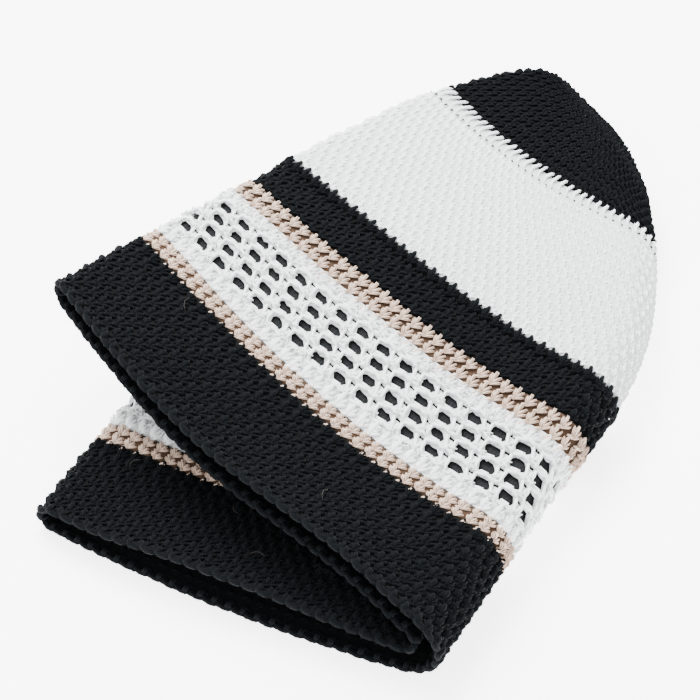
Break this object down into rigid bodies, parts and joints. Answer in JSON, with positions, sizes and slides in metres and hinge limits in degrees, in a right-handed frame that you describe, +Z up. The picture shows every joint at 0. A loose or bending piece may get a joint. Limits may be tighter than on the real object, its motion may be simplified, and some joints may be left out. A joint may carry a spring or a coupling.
{
  "type": "knitted kufi cap, folded flat",
  "caption": "Brimless knitted cap with plain, striped and openwork bands, pressed flat, folded in half and laid down.",
  "frame": {"origin": "middle of the folded hat's box, on the surface it rests on", "axes": "+Y from the rim to the crown along the middle fold, +Z up from the surface, the open edges of the fold towards -X"},
  "size_m": [0.149, 0.2056, 0.0446],
  "materials": {
    "black_yarn": "matte knitted yarn",
    "beige_yarn": "matte knitted yarn",
    "white_yarn": "matte knitted yarn",
    "liner_knit": "matte fine rib knit"
  },
  "bodies": {
    "root": {"rim_band": "black_yarn", "lower_stripe": "beige_yarn", "openwork_band": "white_yarn", "inner_band": "liner_knit", "upper_stripe": "beige_yarn", "side_band": "black_yarn", "crown_band": "white_yarn", "crown_top": "black_yarn"}
  },
  "joints": []
}
